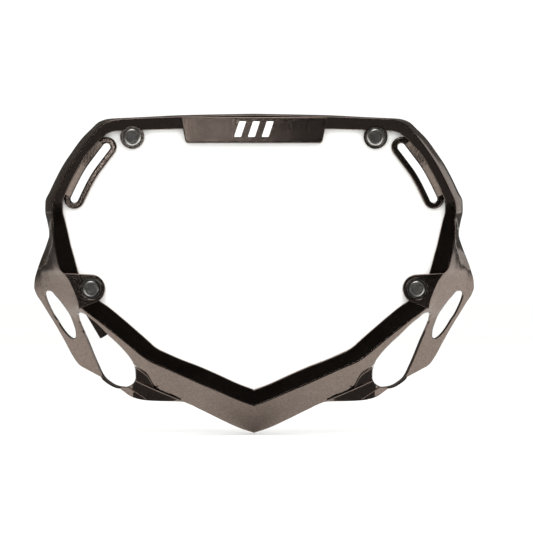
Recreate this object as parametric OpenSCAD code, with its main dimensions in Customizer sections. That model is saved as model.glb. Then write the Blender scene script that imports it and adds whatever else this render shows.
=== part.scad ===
// BMX race number plate: a one-piece moulded surround with swept-back wings and a chin,
// a flat number insert behind it, and four button-head screws with washers and lock nuts.
// X is across the plate, Z is up, and the front faces -Y. The insert's front face is the datum.

/* [Overall] */
// Width over the two wings
plate_w = 259; // [200:1:320]
// Height from the top bar to the chin point
plate_h = 186.6; // [150:0.1:230]
// How far the wings sweep back behind the insert's front face
wing_sweep = 22; // [14:0.5:30]

/* [Surround section] */
// Wall of the moulding
wall = 2.2; // [1.6:0.1:3]
// Height of the band's inner edge in front of the insert
lip_h = 6.5; // [4.5:0.1:9]
// Height of the band's ridge in front of the insert
ridge_h = 8; // [7:0.1:12]

/* [Header panel] */
// Half width of the header panel at its lower edge
header_half_w = 40; // [30:0.5:48]
// How far the header panel hangs below the bar's lower edge
header_drop = 8.4; // [5:0.1:12]
// How far the header panel's top edge stays below the bar's ridge
header_top_gap = 0.4; // [0.2:0.1:1]
// Slant of the header panel's ends
header_slant = 2.6; // [0:0.1:5]
// Radius of the header panel's lower corners
header_corner_r = 1.8; // [0.5:0.1:3]
// Thickness of the moulded marks on the header panel
mark_t = 0.4; // [0.2:0.1:1]

/* [Strap loops] */
// Width of the strap slot
slot_w = 4.6; // [3:0.1:7]
// Width of the loop's bar on the side of the insert
loop_bar = 3.7; // [2.5:0.1:5]
// Height of the loop in front of the insert
loop_h = 4.6; // [3:0.1:6]
// Gap between the strap slot and the edge of the insert's own slot
strap_gap = 0.8; // [0.4:0.1:2]

/* [Number insert] */
// Thickness of the insert
insert_t = 1.2; // [0.8:0.1:2]
// How far the insert reaches behind the band
insert_seat = 3.2; // [2.6:0.1:4]

/* [Screws] */
// Outer diameter of the screw's shank
shank_d = 5.9; // [4:0.1:7.2]
// Length of the shank under the head
shank_l = 14; // [12:0.5:20]
// Diameter of the button head
head_d = 10.5; // [8:0.1:12]
// Height of the button head
head_h = 3.3; // [2:0.1:4]
// Width across the flats of the hexagon socket
socket_af = 5; // [2.5:0.5:6]
// Depth of the hexagon socket
socket_depth = 2.2; // [1:0.1:3]
// Outer diameter of the washers
washer_d = 12; // [11:0.5:16]
// Thickness of the washers
washer_t = 1; // [0.6:0.1:1.6]

/* [Lock nuts] */
// Width across the flats of the nut
nut_af = 10; // [9:0.5:13]
// Height of the nut's hexagon
nut_hex_h = 4.4; // [3:0.1:6]
// Height of the nut with its collar
nut_h = 6; // [5:0.1:8]
// Height of the nylon locking ring
ring_h = 1.3; // [0.8:0.1:1.5]
// Width of the nylon locking ring's wall
ring_w = 0.8; // [0.6:0.1:1.2]
// Wall of the nut's collar round the locking ring
collar_w = 0.8; // [0.5:0.1:1.2]

/* [Lugs] */
// Front of the top lugs in front of the insert
lug_h = 5.4; // [4:0.1:6.4]
// Front of the lower lugs, which cross the band, in front of the insert
low_lug_h = 8.3; // [8.1:0.1:9]
// Depth of the pocket that takes the washer
pocket_depth = 1.2; // [0.6:0.1:2]
// Gap between a washer and its pocket
pocket_gap = 0.2; // [0.1:0.05:0.5]
// Wall round the pocket in the top lugs
top_lug_wall = 0.8; // [0.5:0.1:2]
// Wall round the pocket in the lower lugs
low_lug_wall = 2.1; // [1:0.1:3]

/* [Clearances] */
// Radial clearance of the shank in the nut and its locking ring
thread_gap = 0.05; // [0.02:0.01:0.1]
// Radial clearance of the shank in the washers and the lugs
shank_gap = 0.3; // [0.15:0.05:0.5]
// Radial clearance of the shank in the insert
insert_gap = 0.55; // [0.3:0.05:1]

/* [Hidden] */
$fn = 48;

// The outline below is drawn at this size and stretched to plate_w and plate_h
drawn_w = 259;
drawn_h = 186.6;
stretch = [plate_w / drawn_w, plate_h / drawn_h];
function place(p) = [p.x * stretch.x, p.y * stretch.y];

// One half of the surround, from the top centre down the right side to the chin point.
// A station is its inner edge, its ridge, its outer edge and its fold. The fold places the foot,
// the floor and the skirt, each by its share of the way from ridge to outer edge across and
// back, and ends with the outer edge's share of wing_sweep.
bar = [0.3, 0.25, 0.55, 0.5, 0.8, 0.75, 0.09];
side = [0.3, 0.25, 0.55, 0.5, 0.8, 0.75, 0.14];
chin = [0.3, 0.3, 0.62, 0.62, 0.94, 0.94, 0.41];
stations = [
    [[0, 84.2], [0, 92.3], [0, 93.3], bar],
    [[42, 84], [42, 91.3], [42, 92.5], bar],
    [[64, 83.4], [64, 90.5], [64, 91.4], bar],
    [[76, 83], [76.5, 89.9], [77, 90.8], bar],
    [[81, 82.7], [82.5, 89], [84.4, 90.4], bar],
    [[84.6, 81.6], [87.2, 87.1], [90, 88.8], bar],
    [[87.8, 79.2], [91.4, 83.4], [95, 84.5], side],
    [[92, 75], [96.2, 77.6], [100.8, 78.6], side],
    [[97.2, 69], [101.8, 70], [106.6, 70.6], side],
    [[101.4, 62], [106.2, 63.2], [111.2, 63.8], side],
    [[105.8, 53.9], [110.4, 55.4], [115.4, 56], side],
    [[109.2, 46.2], [114.2, 47.6], [119.2, 48], side],
    [[111, 41], [116.6, 41.8], [121.8, 42], side],
    [[110.9, 36.6], [117.3, 36.6], [121.9, 36.6], side],
    [[109.6, 31], [116.8, 30.4], [120.7, 30.4], [0.3, 0.25, 0.55, 0.5, 0.8, 0.75, 0.18]],
    [[108, 24.3], [117, 23.8], [119.6, 23.4], [0.3, 0.25, 0.55, 0.5, 0.8, 0.75, 0.24]],
    [[106.3, 16.7], [116.2, 15.6], [121.6, 16.4], [0.3, 0.25, 0.55, 0.5, 0.8, 0.76, 0.36]],
    [[104.5, 10.3], [114.6, 8], [125, 8.4], [0.25, 0.25, 0.5, 0.5, 0.78, 0.78, 0.56]],
    [[102.8, 3.9], [113, 2.6], [127.6, 1.5], [0.25, 0.26, 0.5, 0.51, 0.78, 0.79, 0.74]],
    [[101.6, -0.2], [110.2, -0.4], [129.1, -3.6], [0.22, 0.24, 0.48, 0.5, 0.76, 0.78, 0.86]],
    [[100.2, -5.2], [107, -5], [129.5, -8], [0.2, 0.22, 0.46, 0.49, 0.75, 0.78, 0.92]],
    [[98.4, -9.6], [104.6, -10.2], [128.2, -12.2], [0.18, 0.21, 0.45, 0.49, 0.75, 0.78, 0.95]],
    [[95.6, -12.8], [102.9, -15.2], [125, -17.1], [0.15, 0.19, 0.44, 0.49, 0.75, 0.78, 0.96]],
    [[91, -15], [101.6, -19], [121.4, -23], [0.12, 0.16, 0.43, 0.5, 0.75, 0.78, 0.97]],
    [[87.4, -17.2], [98.6, -21.6], [117.2, -29.8], [0.08, 0.1, 0.4, 0.5, 0.72, 0.78, 0.98]],
    [[84.1, -19.5], [94.6, -24.6], [111.4, -40], [0.08, 0.09, 0.36, 0.48, 0.7, 0.78, 0.99]],
    [[80.6, -22.3], [90.6, -27.5], [106.2, -49.6], [0.1, 0.1, 0.34, 0.46, 0.7, 0.78, 1]],
    [[77.6, -24.8], [87.4, -30], [102.8, -54], [0.12, 0.12, 0.34, 0.46, 0.7, 0.78, 1]],
    [[74.6, -27.3], [84.1, -32.6], [98.2, -56.6], [0.15, 0.15, 0.34, 0.46, 0.7, 0.78, 0.92]],
    [[70, -31.3], [78.3, -37.2], [87.6, -62.2], [0.2, 0.22, 0.36, 0.5, 0.7, 0.8, 0.74]],
    [[65.4, -35.3], [72.4, -42], [78.3, -67.9], [0.23, 0.3, 0.34, 0.62, 0.7, 0.84, 0.56]],
    [[61, -39.2], [67.6, -46], [70.4, -72.8], [0.295, 0.488, 0.335, 0.883, 0.6, 0.914, 0.373]],
    [[57.6, -42.3], [62.4, -49.8], [62.6, -74.4], [0.345, 0.538, 0.385, 0.924, 0.63, 0.943, 0.355]],
    [[54.6, -44.2], [57.6, -52.3], [57.4, -74.7], [0.6, 0.848, 0.635, 0.943, 0.67, 0.949, 0.355]],
    [[52.2, -45.3], [54.4, -53.6], [54.2, -74.8], [0.3, 0.41, 0.52, 0.705, 0.7, 0.95, 0.345]],
    [[43.2, -49.3], [43, -58.7], [42.4, -75.1], [0.3, 0.31, 0.61, 0.63, 0.92, 0.93, 0.38]],
    [[31.5, -53.8], [31.5, -63.9], [31.5, -79.6], chin],
    [[19.9, -58.9], [19.9, -68.8], [19.9, -85.3], chin],
    [[8.2, -64.2], [8.2, -73.9], [8.2, -90.6], chin],
    [[0, -67.2], [0, -76.9], [0, -93.3], chin]
];

// Openings in each wing, drawn on the right side
vent_outline = [
    [121.4, -10.4], [119.1, -10.4], [116.2, -13.1], [113.3, -16.3], [110.4, -20.1], [107.5, -24.7],
    [106, -28.8], [104.5, -34.7], [104.6, -37], [105.7, -37.9], [107.5, -37], [110.4, -34.1],
    [113.3, -30], [115, -27.1], [117.4, -23.6], [119.7, -18.9], [121.5, -14.2], [122, -11.6]
];
teardrop_outline = [
    [101.4, -22.9], [102.2, -24.2], [99.3, -32.9], [96.9, -38.7], [94.6, -44.6], [92.3, -50.4],
    [90.5, -54.5], [88.8, -58.2], [87, -60.9], [84.1, -63.3], [81.2, -65], [78.3, -65.9],
    [74.8, -66.2], [72.4, -65.3], [70.1, -63.2], [69.3, -60.5], [69.5, -57.4], [70.1, -53.9],
    [71.2, -51], [73.6, -47.5], [77.1, -43.4], [81.2, -39.3], [84.7, -36.1], [91.1, -29.7],
    [95.8, -25.9], [99.3, -23.2]
];

// Middle line of the right strap slot, from its top end down
slot_line = [[85.8, 73.6], [91.3, 66.4], [95.6, 60.5], [99, 54.7], [101.9, 48.9], [104.4, 43.6]];

// Screw places on the right side
top_screw = [70.7, 79.5];
low_screw = [94.6, -8.7];

// Where the right lower lug meets the wing, from its lower end up
lug_root = [[101.6, -20.6], [102.8, -15.4], [105.1, -9.5], [107.5, -4.3], [110.4, 0.4]];

// Gusset tab behind the upper edge of the left wing's large opening
tab_outline = [
    [-98.1, -23], [-89.4, -37.6], [-88.2, -37.3], [-85.8, -35.8], [-84.2, -34.5], [-90.6, -28.2],
    [-97.5, -22]
];
tab_back = 1.5;
tab_front = 4.2;

// Each corner is its side, -1 for left, and whether it is a low one
TOP_LEFT = [-1, false];
TOP_RIGHT = [1, false];
LOW_LEFT = [-1, true];
LOW_RIGHT = [1, true];
CORNERS = [TOP_LEFT, TOP_RIGHT, LOW_LEFT, LOW_RIGHT];
function screw_spot(corner) =
    let (spot = place(corner[1] ? low_screw : top_screw)) [corner[0] * spot.x, spot.y];

// Depths measured forward from the insert's front face
pocket_floor = lug_h - pocket_depth;
head_seat = pocket_floor + washer_t;
head_front = head_seat + head_h;
nut_seat = -(insert_t + washer_t);

// The origin is the middle of the whole plate's box
front_y = -max(head_front, ridge_h + mark_t, low_lug_h);
middle_y = (front_y + wing_sweep) / 2;

shank_r = shank_d / 2;
pocket_r = washer_d / 2 + pocket_gap;
// Width of the outer edge's flat rim, wider than the wall because the skirt meets it at a slant
rim_w = wall * 1.25;
ring_r = shank_r + thread_gap + ring_w;
header_front = ridge_h;

function unit(v) = v / norm(v);
function blend(a, b, t) = a + (b - a) * t;

// A station's direction from its inner edge to its outer edge
function across(s) = unit(place(s[2]) - place(s[0]));

// Shift of a wall's inner face at point k of a section given as [across, back] points
function inset(path, k) =
    let (
        before = k > 0 ? unit(path[k] - path[k - 1]) : unit(path[1] - path[0]),
        after = k < len(path) - 1 ? unit(path[k + 1] - path[k]) : before,
        n1 = [-before.y, before.x],
        n2 = [-after.y, after.x]
    )
    (n1 + n2) * wall / (1 + n1 * n2);

// The closed U section at a station: lip, inner edge, ridge, foot, floor, skirt and outer edge,
// then the wall's inner face back to the lip
function section(s) =
    let (
        inner = place(s[0]),
        ridge = place(s[1]),
        outer = place(s[2]),
        fold = s[3],
        back = fold[6] * wing_sweep,
        plan = concat([inner, inner, ridge], [for (k = [0, 2, 4]) blend(ridge, outer, fold[k])], [outer]),
        depth = concat([0, -lip_h, -ridge_h], [for (k = [1, 3, 5]) blend(-ridge_h, back, fold[k])], [back]),
        last = len(plan) - 1,
        path = [for (k = [0:last]) [(plan[k] - inner) * across(s), depth[k]]]
    )
    concat(
        [for (k = [0:last]) [plan[k].x, depth[k], plan[k].y]],
        [let (p = plan[last] - rim_w * across(s)) [p.x, depth[last], p.y]],
        [for (k = [last - 1:-1:1])
            let (shift = inset(path, k), p = plan[k] + shift.x * across(s)) [p.x, depth[k] + shift.y, p.y]],
        [let (p = plan[0] + wall * across(s)) [p.x, 0, p.y]]
    );

function mirrored(points) = [for (p = points) [-p.x, p.y, p.z]];

half_ring = [for (s = stations) section(s)];
ring = concat(half_ring, [for (k = [len(stations) - 2:-1:1]) mirrored(half_ring[k])]);
corners = len(ring[0]);

// The hollow moulding as one ring of sections
module surround_shell() {
    quads = [
        for (i = [0:len(ring) - 1], j = [0:corners - 1])
            let (i2 = (i + 1) % len(ring), j2 = (j + 1) % corners)
                [i * corners + j, i * corners + j2, i2 * corners + j2, i2 * corners + j]
    ];
    polyhedron(
        points = [for (s = ring, p = s) p],
        faces = [for (q = quads, t = [[q[0], q[1], q[2]], [q[0], q[2], q[3]]]) t],
        convexity = 10
    );
}

// Solid of an outline in the plate's plane, from one depth to another in front of the insert
module upright(low, high) {
    rotate([90, 0, 0]) translate([0, 0, low]) linear_extrude(high - low) children();
}

module both_sides() {
    children();
    mirror([1, 0, 0]) children();
}

module at_screw(corner) {
    spot = screw_spot(corner);
    translate([spot.x, 0, spot.y]) rotate([90, 0, 0]) children();
}

// Outline of a round-ended band of the given half width along a line of points
function ribbon(line, r) =
    let (
        last = len(line) - 1,
        along = [for (k = [0:last]) unit(line[min(k + 1, last)] - line[max(k - 1, 0)])],
        left = [for (k = [0:last]) line[k] + r * [-along[k].y, along[k].x]],
        right = [for (k = [last:-1:0]) line[k] - r * [-along[k].y, along[k].x]],
        end_a = atan2(along[last].y, along[last].x),
        start_a = atan2(-along[0].y, -along[0].x)
    )
    concat(
        left,
        [for (a = [60:-30:-60]) line[last] + r * [cos(end_a + a), sin(end_a + a)]],
        right,
        [for (a = [60:-30:-60]) line[0] + r * [cos(start_a + a), sin(start_a + a)]]
    );

placed_slot = [for (p = slot_line) place(p)];

module strap_slot(extra) {
    polygon(ribbon(placed_slot, slot_w / 2 + extra));
}

module header_outline() {
    bar_low = place(stations[0][0]).y;
    bar_top = place(stations[1][1]).y - header_top_gap;
    low = bar_low - header_drop;
    r = header_corner_r;
    polygon(concat(
        [[header_half_w + header_slant, bar_top]],
        [for (a = [0:-22.5:-90]) [header_half_w - r + r * cos(a), low + r + r * sin(a)]],
        [for (a = [270:-22.5:180]) [-header_half_w + r + r * cos(a), low + r + r * sin(a)]],
        [[-header_half_w - header_slant, bar_top]]
    ));
}

module wing_openings() {
    both_sides() {
        upright(-wing_sweep - 5, ridge_h + 5) polygon([for (p = vent_outline) place(p)]);
        upright(-wing_sweep - 5, ridge_h + 5) polygon([for (p = teardrop_outline) place(p)]);
    }
}

// The shell with its wing openings. A resize of zero keeps every size: it only makes the curved
// shell one faceted body, so that the bores added to it afterwards stay true cylinders.
module open_shell() {
    resize([0, 0, 0]) difference() {
        surround_shell();
        wing_openings();
    }
}

// Lower lug: round about its screw, then straight to the wing at both ends of its root
module low_lug() {
    spot = place(low_screw);
    r = pocket_r + low_lug_wall;
    upright(0, low_lug_h) polygon(concat(
        [for (p = lug_root) place(p)],
        [for (a = [90:7.5:247.5]) spot + r * [cos(a), sin(a)]]
    ));
}

module front_frame() {
    color([0.07, 0.07, 0.075])
    difference() {
        union() {
            open_shell();
            upright(0, header_front) header_outline();
            both_sides() upright(0, loop_h) strap_slot(loop_bar);
            for (corner = [TOP_LEFT, TOP_RIGHT])
                at_screw(corner) cylinder(r = pocket_r + top_lug_wall, h = lug_h);
            both_sides() low_lug();
            upright(tab_back, tab_front) polygon([for (p = tab_outline) place(p)]);
        }
        both_sides() upright(-5, loop_h + 5) strap_slot(0);
        for (corner = CORNERS) {
            at_screw(corner) translate([0, 0, -5]) cylinder(r = shank_r + shank_gap, h = lug_h + 10);
            at_screw(corner) translate([0, 0, pocket_floor]) cylinder(r = pocket_r, h = ridge_h);
        }
    }
}

module number_insert() {
    half = [for (s = stations) place(s[0]) + insert_seat * across(s)];
    color([0.93, 0.93, 0.92])
    difference() {
        upright(-insert_t, 0)
            polygon(concat(half, [for (k = [len(half) - 2:-1:1]) [-half[k].x, half[k].y]]));
        both_sides() upright(-insert_t - 1, 1) strap_slot(strap_gap);
        for (corner = CORNERS)
            at_screw(corner) translate([0, 0, -insert_t - 1])
                cylinder(r = shank_r + insert_gap, h = insert_t + 2);
    }
}

// Three slanted bars, as a plain mark on the header panel
module header_marks() {
    mark_h = 9;
    mark_w = 4;
    pitch = 8;
    lean = 3;
    middle = place(stations[0][0]).y - header_drop + mark_h / 2 + 3.6;
    color([0.95, 0.95, 0.95])
    for (k = [-1:1])
        upright(header_front, header_front + mark_t)
            translate([k * pitch, middle])
                polygon([
                    [-mark_w / 2 - lean / 2, -mark_h / 2], [mark_w / 2 - lean / 2, -mark_h / 2],
                    [mark_w / 2 + lean / 2, mark_h / 2], [-mark_w / 2 + lean / 2, mark_h / 2]
                ]);
}

// Button-head screw with a hexagon socket
module screw(corner) {
    crown_r = 3.3;
    color([0.62, 0.62, 0.63])
    at_screw(corner) difference() {
        union() {
            translate([0, 0, head_seat - shank_l]) cylinder(r = shank_r, h = shank_l);
            translate([0, 0, head_seat]) rotate_extrude() polygon(concat(
                [[0, 0], [head_d / 2, 0], [head_d / 2, 0.6]],
                [for (a = [15:15:75]) [
                    crown_r + (head_d / 2 - crown_r) * cos(a),
                    0.6 + (head_h - 0.6) * sin(a)
                ]],
                [[crown_r, head_h], [0, head_h]]
            ));
        }
        translate([0, 0, head_front - socket_depth])
            cylinder(r = socket_af / sqrt(3), h = socket_depth + 1, $fn = 6);
    }
}

module washer(corner, seat) {
    color([0.7, 0.7, 0.72])
    at_screw(corner) translate([0, 0, seat]) difference() {
        cylinder(r = washer_d / 2, h = washer_t);
        translate([0, 0, -1]) cylinder(r = shank_r + shank_gap, h = washer_t + 2);
    }
}

// Hexagon nut with a round collar that holds the locking ring
module lock_nut(corner) {
    color([0.66, 0.66, 0.68])
    at_screw(corner) translate([0, 0, nut_seat - nut_h]) difference() {
        union() {
            translate([0, 0, nut_h - nut_hex_h]) cylinder(r = nut_af / sqrt(3), h = nut_hex_h, $fn = 6);
            cylinder(r = ring_r + collar_w, h = nut_h);
        }
        translate([0, 0, -1]) cylinder(r = shank_r + thread_gap, h = nut_h + 2);
        translate([0, 0, -1]) cylinder(r = ring_r, h = 1 + ring_h);
    }
}

module lock_ring(corner) {
    color([0.2, 0.35, 0.65])
    at_screw(corner) translate([0, 0, nut_seat - nut_h]) difference() {
        cylinder(r = ring_r, h = ring_h);
        translate([0, 0, -1]) cylinder(r = shank_r + thread_gap, h = ring_h + 2);
    }
}

translate([0, -middle_y, 0]) {
    front_frame();
    number_insert();
    header_marks();
    screw(TOP_LEFT);  // screw_top_left
    screw(TOP_RIGHT);  // screw_top_right
    screw(LOW_LEFT);  // screw_low_left
    screw(LOW_RIGHT);  // screw_low_right
    washer(TOP_LEFT, pocket_floor);  // washer_top_left
    washer(TOP_RIGHT, pocket_floor);  // washer_top_right
    washer(LOW_LEFT, pocket_floor);  // washer_low_left
    washer(LOW_RIGHT, pocket_floor);  // washer_low_right
    washer(TOP_LEFT, nut_seat);  // back_washer_top_left
    washer(TOP_RIGHT, nut_seat);  // back_washer_top_right
    washer(LOW_LEFT, nut_seat);  // back_washer_low_left
    washer(LOW_RIGHT, nut_seat);  // back_washer_low_right
    lock_nut(TOP_LEFT);  // lock_nut_top_left
    lock_nut(TOP_RIGHT);  // lock_nut_top_right
    lock_nut(LOW_LEFT);  // lock_nut_low_left
    lock_nut(LOW_RIGHT);  // lock_nut_low_right
    lock_ring(TOP_LEFT);  // lock_ring_top_left
    lock_ring(TOP_RIGHT);  // lock_ring_top_right
    lock_ring(LOW_LEFT);  // lock_ring_low_left
    lock_ring(LOW_RIGHT);  // lock_ring_low_right
}
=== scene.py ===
"""Looks of a BMX race number plate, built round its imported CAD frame."""

import math

import bmesh
import bpy
from bpy.props import FloatProperty, FloatVectorProperty, IntProperty, PointerProperty
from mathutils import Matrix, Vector
from mathutils.bvhtree import BVHTree


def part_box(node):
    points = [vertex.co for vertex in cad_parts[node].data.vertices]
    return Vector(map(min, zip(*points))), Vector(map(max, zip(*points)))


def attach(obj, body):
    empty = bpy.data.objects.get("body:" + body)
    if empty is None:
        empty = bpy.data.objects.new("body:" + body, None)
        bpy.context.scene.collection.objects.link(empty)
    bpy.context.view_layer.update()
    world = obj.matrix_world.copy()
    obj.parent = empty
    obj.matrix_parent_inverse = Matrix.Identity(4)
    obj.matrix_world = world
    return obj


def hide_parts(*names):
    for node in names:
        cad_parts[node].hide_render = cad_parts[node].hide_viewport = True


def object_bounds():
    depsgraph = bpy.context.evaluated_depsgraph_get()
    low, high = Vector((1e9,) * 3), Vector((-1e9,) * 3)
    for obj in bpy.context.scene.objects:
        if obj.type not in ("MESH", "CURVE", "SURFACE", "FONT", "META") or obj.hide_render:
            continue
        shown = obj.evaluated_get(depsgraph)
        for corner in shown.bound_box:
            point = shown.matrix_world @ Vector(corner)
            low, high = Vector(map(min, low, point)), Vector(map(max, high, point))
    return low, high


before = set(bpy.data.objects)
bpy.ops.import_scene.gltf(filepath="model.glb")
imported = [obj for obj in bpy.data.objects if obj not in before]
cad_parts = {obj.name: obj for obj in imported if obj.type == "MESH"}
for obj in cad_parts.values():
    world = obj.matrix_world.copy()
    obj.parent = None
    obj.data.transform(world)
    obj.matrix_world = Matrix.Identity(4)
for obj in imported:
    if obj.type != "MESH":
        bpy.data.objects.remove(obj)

bl_info = {
    "name": "Race number plate",
    "version": (1, 0, 0),
    "blender": (4, 5, 0),
    "location": "View3D > Sidebar > Number plate",
    "description": "Builds the plated surround, number sheet and fasteners of a race number plate",
    "category": "Add Mesh",
}

MM = 0.001
CAD_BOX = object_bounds()
# The number sheet's front face is the datum that every depth is measured from
DATUM_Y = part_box("number_insert")[0].y
CORNERS = ("top_left", "top_right", "low_left", "low_right")
# Radial gap between the screws' threads and what they are screwed into
THREAD_GAP = 0.05 * MM

# The moulding's fold: foot, floor and skirt as shares of the way from ridge to outer edge,
# across then back, and the outer edge's share of the sweep
BAR = (0.3, 0.25, 0.55, 0.5, 0.8, 0.75, 0.09)
SIDE = (0.3, 0.25, 0.55, 0.5, 0.8, 0.75, 0.14)
CHIN = (0.3, 0.3, 0.62, 0.62, 0.94, 0.94, 0.41)

# Half of the surround from the top centre round to the chin, in millimetres:
# inner edge, ridge, outer edge and fold
STATIONS = (
    ((0, 84.2), (0, 92.3), (0, 93.3), BAR),
    ((42, 84), (42, 91.3), (42, 92.5), BAR),
    ((64, 83.4), (64, 90.5), (64, 91.4), BAR),
    ((76, 83), (76.5, 89.9), (77, 90.8), BAR),
    ((81, 82.7), (82.5, 89), (84.4, 90.4), BAR),
    ((84.6, 81.6), (87.2, 87.1), (90, 88.8), BAR),
    ((87.8, 79.2), (91.4, 83.4), (95, 84.5), SIDE),
    ((92, 75), (96.2, 77.6), (100.8, 78.6), SIDE),
    ((97.2, 69), (101.8, 70), (106.6, 70.6), SIDE),
    ((101.4, 62), (106.2, 63.2), (111.2, 63.8), SIDE),
    ((105.8, 53.9), (110.4, 55.4), (115.4, 56), SIDE),
    ((109.2, 46.2), (114.2, 47.6), (119.2, 48), SIDE),
    ((111, 41), (116.6, 41.8), (121.8, 42), SIDE),
    ((110.9, 36.6), (117.3, 36.6), (121.9, 36.6), SIDE),
    ((109.6, 31), (116.8, 30.4), (120.7, 30.4), (0.3, 0.25, 0.55, 0.5, 0.8, 0.75, 0.18)),
    ((108, 24.3), (117, 23.8), (119.6, 23.4), (0.3, 0.25, 0.55, 0.5, 0.8, 0.75, 0.24)),
    ((106.3, 16.7), (116.2, 15.6), (121.6, 16.4), (0.3, 0.25, 0.55, 0.5, 0.8, 0.76, 0.36)),
    ((104.5, 10.3), (114.6, 8), (125, 8.4), (0.25, 0.25, 0.5, 0.5, 0.78, 0.78, 0.56)),
    ((102.8, 3.9), (113, 2.6), (127.6, 1.5), (0.25, 0.26, 0.5, 0.51, 0.78, 0.79, 0.74)),
    ((101.6, -0.2), (110.2, -0.4), (129.1, -3.6), (0.22, 0.24, 0.48, 0.5, 0.76, 0.78, 0.86)),
    ((100.2, -5.2), (107, -5), (129.5, -8), (0.2, 0.22, 0.46, 0.49, 0.75, 0.78, 0.92)),
    ((98.4, -9.6), (104.6, -10.2), (128.2, -12.2), (0.18, 0.21, 0.45, 0.49, 0.75, 0.78, 0.95)),
    ((95.6, -12.8), (102.9, -15.2), (125, -17.1), (0.15, 0.19, 0.44, 0.49, 0.75, 0.78, 0.96)),
    ((91, -15), (101.6, -19), (121.4, -23), (0.12, 0.16, 0.43, 0.5, 0.75, 0.78, 0.97)),
    ((87.4, -17.2), (98.6, -21.6), (117.2, -29.8), (0.08, 0.1, 0.4, 0.5, 0.72, 0.78, 0.98)),
    ((84.1, -19.5), (94.6, -24.6), (111.4, -40), (0.08, 0.09, 0.36, 0.48, 0.7, 0.78, 0.99)),
    ((80.6, -22.3), (90.6, -27.5), (106.2, -49.6), (0.1, 0.1, 0.34, 0.46, 0.7, 0.78, 1)),
    ((77.6, -24.8), (87.4, -30), (102.8, -54), (0.12, 0.12, 0.34, 0.46, 0.7, 0.78, 1)),
    ((74.6, -27.3), (84.1, -32.6), (98.2, -56.6), (0.15, 0.15, 0.34, 0.46, 0.7, 0.78, 0.92)),
    ((70, -31.3), (78.3, -37.2), (87.6, -62.2), (0.2, 0.22, 0.36, 0.5, 0.7, 0.8, 0.74)),
    ((65.4, -35.3), (72.4, -42), (78.3, -67.9), (0.23, 0.3, 0.34, 0.62, 0.7, 0.84, 0.56)),
    ((61, -39.2), (67.6, -46), (70.4, -72.8), (0.295, 0.488, 0.335, 0.883, 0.6, 0.914, 0.373)),
    ((57.6, -42.3), (62.4, -49.8), (62.6, -74.4), (0.345, 0.538, 0.385, 0.924, 0.63, 0.943, 0.355)),
    ((54.6, -44.2), (57.6, -52.3), (57.4, -74.7), (0.6, 0.848, 0.635, 0.943, 0.67, 0.949, 0.355)),
    ((52.2, -45.3), (54.4, -53.6), (54.2, -74.8), (0.3, 0.41, 0.52, 0.705, 0.7, 0.95, 0.345)),
    ((43.2, -49.3), (43, -58.7), (42.4, -75.1), (0.3, 0.31, 0.61, 0.63, 0.92, 0.93, 0.38)),
    ((31.5, -53.8), (31.5, -63.9), (31.5, -79.6), CHIN),
    ((19.9, -58.9), (19.9, -68.8), (19.9, -85.3), CHIN),
    ((8.2, -64.2), (8.2, -73.9), (8.2, -90.6), CHIN),
    ((0, -67.2), (0, -76.9), (0, -93.3), CHIN),
)

# Openings in the right wing and middle line of the right strap slot, in millimetres
VENT = (
    (121.4, -10.4), (119.1, -10.4), (116.2, -13.1), (113.3, -16.3), (110.4, -20.1), (107.5, -24.7),
    (106, -28.8), (104.5, -34.7), (104.6, -37), (105.7, -37.9), (107.5, -37), (110.4, -34.1),
    (113.3, -30), (115, -27.1), (117.4, -23.6), (119.7, -18.9), (121.5, -14.2), (122, -11.6),
)
TEARDROP = (
    (101.4, -22.9), (102.2, -24.2), (99.3, -32.9), (96.9, -38.7), (94.6, -44.6), (92.3, -50.4),
    (90.5, -54.5), (88.8, -58.2), (87, -60.9), (84.1, -63.3), (81.2, -65), (78.3, -65.9),
    (74.8, -66.2), (72.4, -65.3), (70.1, -63.2), (69.3, -60.5), (69.5, -57.4), (70.1, -53.9),
    (71.2, -51), (73.6, -47.5), (77.1, -43.4), (81.2, -39.3), (84.7, -36.1), (91.1, -29.7),
    (95.8, -25.9), (99.3, -23.2),
)
# Where the right lower lug meets the wing, and the gusset tab behind the left wing's large opening
LUG_ROOT = ((101.6, -20.6), (102.8, -15.4), (105.1, -9.5), (107.5, -4.3), (110.4, 0.4))
TAB = (
    (-98.1, -23), (-89.4, -37.6), (-88.2, -37.3), (-85.8, -35.8), (-84.2, -34.5), (-90.6, -28.2),
    (-97.5, -22),
)
# Beads along the right lower rail, from the large opening towards the chin
RAIL_STEP = ((71, -61.4), (69.5, -62.1), (60.7, -66.2), (52, -69.9), (42.8, -73.7))
RAIL_SEAM = ((73.6, -66.2), (68, -69.8), (62.5, -73.3))
SLOT_LINE = ((85.8, 73.6), (91.3, 66.4), (95.6, 60.5), (99, 54.7), (101.9, 48.9), (104.4, 43.6))


def linear(code):
    """Linear colour of an sRGB hex value."""
    parts = [int(code[k : k + 2], 16) / 255 for k in (0, 2, 4)]
    return tuple(p / 12.92 if p <= 0.04045 else ((p + 0.055) / 1.055) ** 2.4 for p in parts)


def length(name, description, default):
    """A size in metres that the user can change."""
    return FloatProperty(
        name=name, description=description, default=default * MM, unit="LENGTH", precision=5
    )


def colour(name, description, code):
    """A colour that the user can change."""
    return FloatVectorProperty(
        name=name, description=description, default=linear(code), subtype="COLOR", min=0, max=1
    )


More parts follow.
